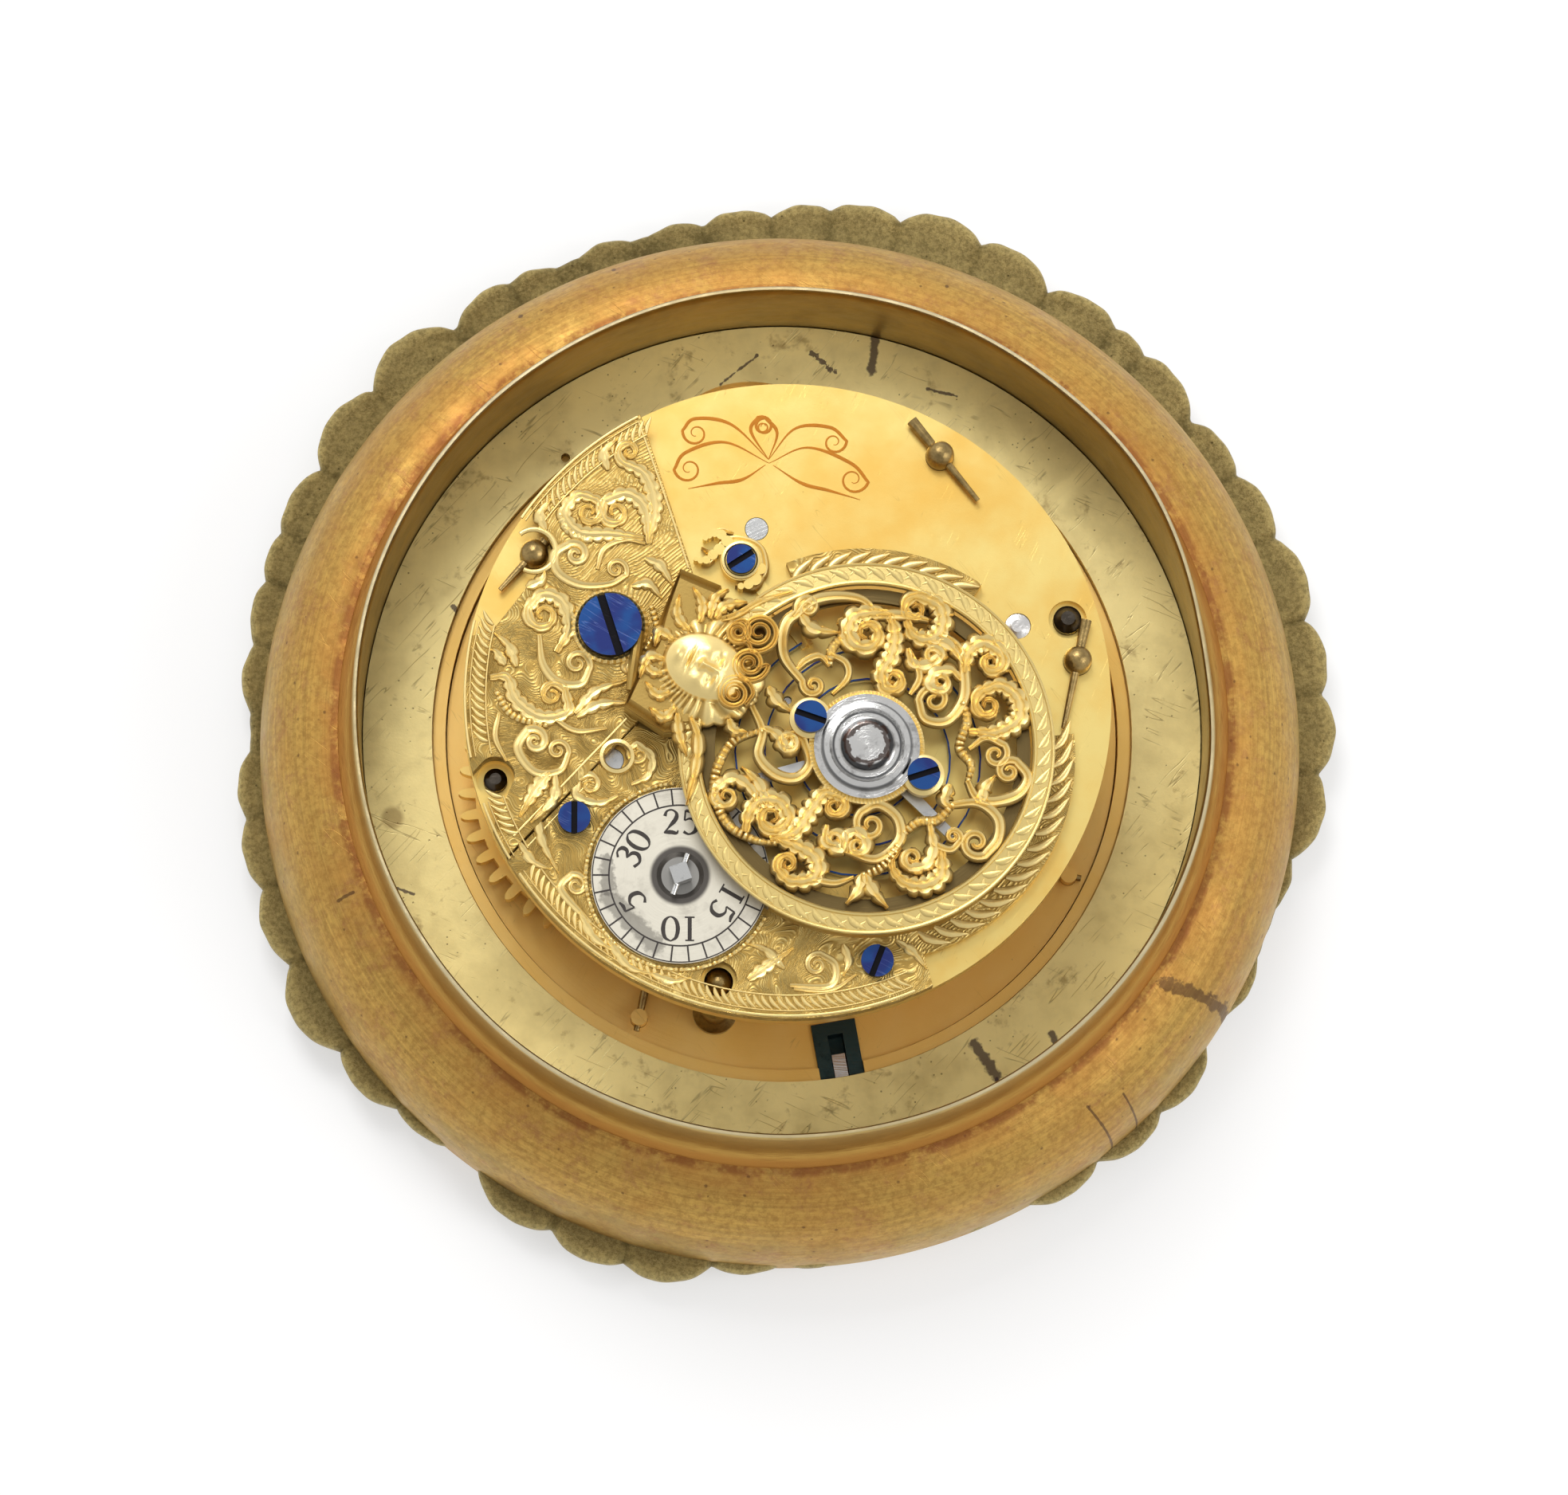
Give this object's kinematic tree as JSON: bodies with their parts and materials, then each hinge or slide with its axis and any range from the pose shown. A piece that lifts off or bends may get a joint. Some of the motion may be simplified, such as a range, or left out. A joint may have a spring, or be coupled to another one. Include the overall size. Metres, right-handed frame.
{
  "type": "watch movement",
  "caption": "Verge and fusee watch movement with a pierced balance cock and a numbered regulator disc, seen from its back plate inside a scalloped setting ring with an upright collar.",
  "frame": {"origin": "the dial's centre line, which is the centre wheel's axis, in the plane that the front bezel rests on", "axes": "+Z from the dial side up through the back plate; +Y towards the barrel; +X to the right as seen from the back plate, from the fusee towards the balance"},
  "size_m": [0.0607, 0.0606, 0.0206],
  "materials": {
    "body_brass": "brushed, patinated orange gilt",
    "flange_brass": "rough, tarnished khaki gilt",
    "pale_brass": "worn pale brass with scratches",
    "gilt": "fire gilt, satin",
    "cock_gilt": "engraved fire gilt",
    "steel": "polished steel",
    "dark_steel": "dark blue-green steel",
    "blued_steel": "heat blued steel",
    "silver": "silvered, satin",
    "enamel": "white vitreous enamel"
  },
  "bodies": {
    "frame": {"scalloped_ring": "flange_brass", "collar": "body_brass", "mounting_plate": "pale_brass", "brass_edge": "gilt", "edge_feet": "gilt", "foot_pins": "gilt", "dial": "enamel", "pillar_plate": "gilt", "pillars": "gilt", "back_plate": "gilt", "pillar_pins": "gilt", "latch_plate": "dark_steel", "latch_spring": "blued_steel", "barrel_arbor": "steel", "setup_ratchet": "steel", "setup_click": "steel", "fusee_chain": "steel", "stop_stud": "steel", "potence": "gilt", "counter_potence": "gilt", "balance_spring": "blued_steel", "spring_stud": "gilt", "stud_screw": "blued_steel", "balance_cock": "cock_gilt", "cock_screw": "blued_steel", "balance_cap": "silver", "cap_screws": "blued_steel", "figure_plate": "gilt", "slide_end_plate": "gilt", "figure_screws": "blued_steel", "plate_studs": "steel"},
    "barrel": {"barrel": "gilt", "barrel_cover": "gilt", "mainspring": "steel"},
    "fusee": {"fusee_cone": "gilt", "fusee_arbor": "steel", "great_wheel": "gilt"},
    "centre": {"centre_wheel": "gilt", "centre_arbor": "steel", "cannon_pinion": "steel", "minute_hand": "blued_steel"},
    "third": {"third_wheel": "gilt", "third_arbor": "steel"},
    "contrate": {"contrate_wheel": "gilt", "contrate_arbor": "steel"},
    "crown": {"crown_wheel": "gilt", "crown_arbor": "steel"},
    "balance": {"verge_staff": "steel", "balance_wheel": "steel"},
    "minute_work": {"minute_wheel": "gilt"},
    "hour": {"hour_wheel": "gilt", "hour_hand": "blued_steel"},
    "regulator": {"regulator_disc": "silver", "regulator_arbor": "steel"},
    "rack": {"regulator_rack": "steel"},
    "latch": {"latch_bolt": "steel"},
    "stop": {"stop_lever": "steel"}
  },
  "joints": [
    {"name": "centre_turn", "type": "hinge", "parent": "frame", "child": "centre", "pos_m": [0, 0, 0.005], "axis": [0, 0, 1], "continuous": true},
    {"name": "fusee_turn", "type": "hinge", "parent": "frame", "child": "fusee", "pos_m": [-0.00931, -0.0033, 0.005], "axis": [0, 0, 1], "continuous": true},
    {"name": "barrel_turn", "type": "hinge", "parent": "frame", "child": "barrel", "pos_m": [-0.00165, 0.0093, 0.005], "axis": [0, 0, 1], "continuous": true},
    {"name": "third_turn", "type": "hinge", "parent": "frame", "child": "third", "pos_m": [0.00082, -0.0078, 0.005], "axis": [0, 0, 1], "continuous": true},
    {"name": "contrate_turn", "type": "hinge", "parent": "frame", "child": "contrate", "pos_m": [0.0041, -0.01106, 0.005], "axis": [0, 0, 1], "continuous": true},
    {"name": "crown_turn", "type": "hinge", "parent": "frame", "child": "crown", "pos_m": [0.0041, -0.005, 0.0116], "axis": [0, 1, 0], "continuous": true},
    {"name": "minute_work_turn", "type": "hinge", "parent": "frame", "child": "minute_work", "pos_m": [0.0024, 0.00416, 0.005], "axis": [0, 0, 1], "continuous": true},
    {"name": "hour_turn", "type": "hinge", "parent": "frame", "child": "hour", "pos_m": [0, 0, 0.005], "axis": [0, 0, 1], "continuous": true},
    {"name": "balance_swing", "type": "hinge", "parent": "frame", "child": "balance", "pos_m": [0.0041, -0.00305, 0.005], "axis": [0, 0, 1], "range_deg": [-110, 110], "stiffness_Nm_per_rad": 0.0000027},
    {"name": "regulator_turn", "type": "hinge", "parent": "frame", "child": "regulator", "pos_m": [-0.0057, -0.0097, 0.005], "axis": [0, 0, 1], "range_deg": [-150, 150]},
    {"name": "rack_turn", "type": "hinge", "parent": "frame", "child": "rack", "pos_m": [0.0041, -0.00305, 0.005], "axis": [0, 0, 1], "range_deg": [-18, 18]},
    {"name": "latch_slide", "type": "slide", "parent": "frame", "child": "latch", "axis": [0.1736, -0.9848, 0], "range_m": [-0.001, 0], "stiffness_N_per_m": 60, "springref_m": 0.0005},
    {"name": "stop_lift", "type": "hinge", "parent": "frame", "child": "stop", "pos_m": [-0.01361, -0.0082, 0.0144], "axis": [1, 0, 0], "range_deg": [0, 5]}
  ],
  "couplings": [
    {"joint": "fusee_turn", "follows": "centre_turn", "ratio": -0.25},
    {"joint": "barrel_turn", "follows": "centre_turn", "ratio": -0.175},
    {"joint": "third_turn", "follows": "centre_turn", "ratio": -9},
    {"joint": "contrate_turn", "follows": "centre_turn", "ratio": 72},
    {"joint": "crown_turn", "follows": "centre_turn", "ratio": 576},
    {"joint": "minute_work_turn", "follows": "centre_turn", "ratio": -0.25},
    {"joint": "hour_turn", "follows": "centre_turn", "ratio": 0.083333},
    {"joint": "rack_turn", "follows": "regulator_turn", "ratio": -0.11905}
  ]
}
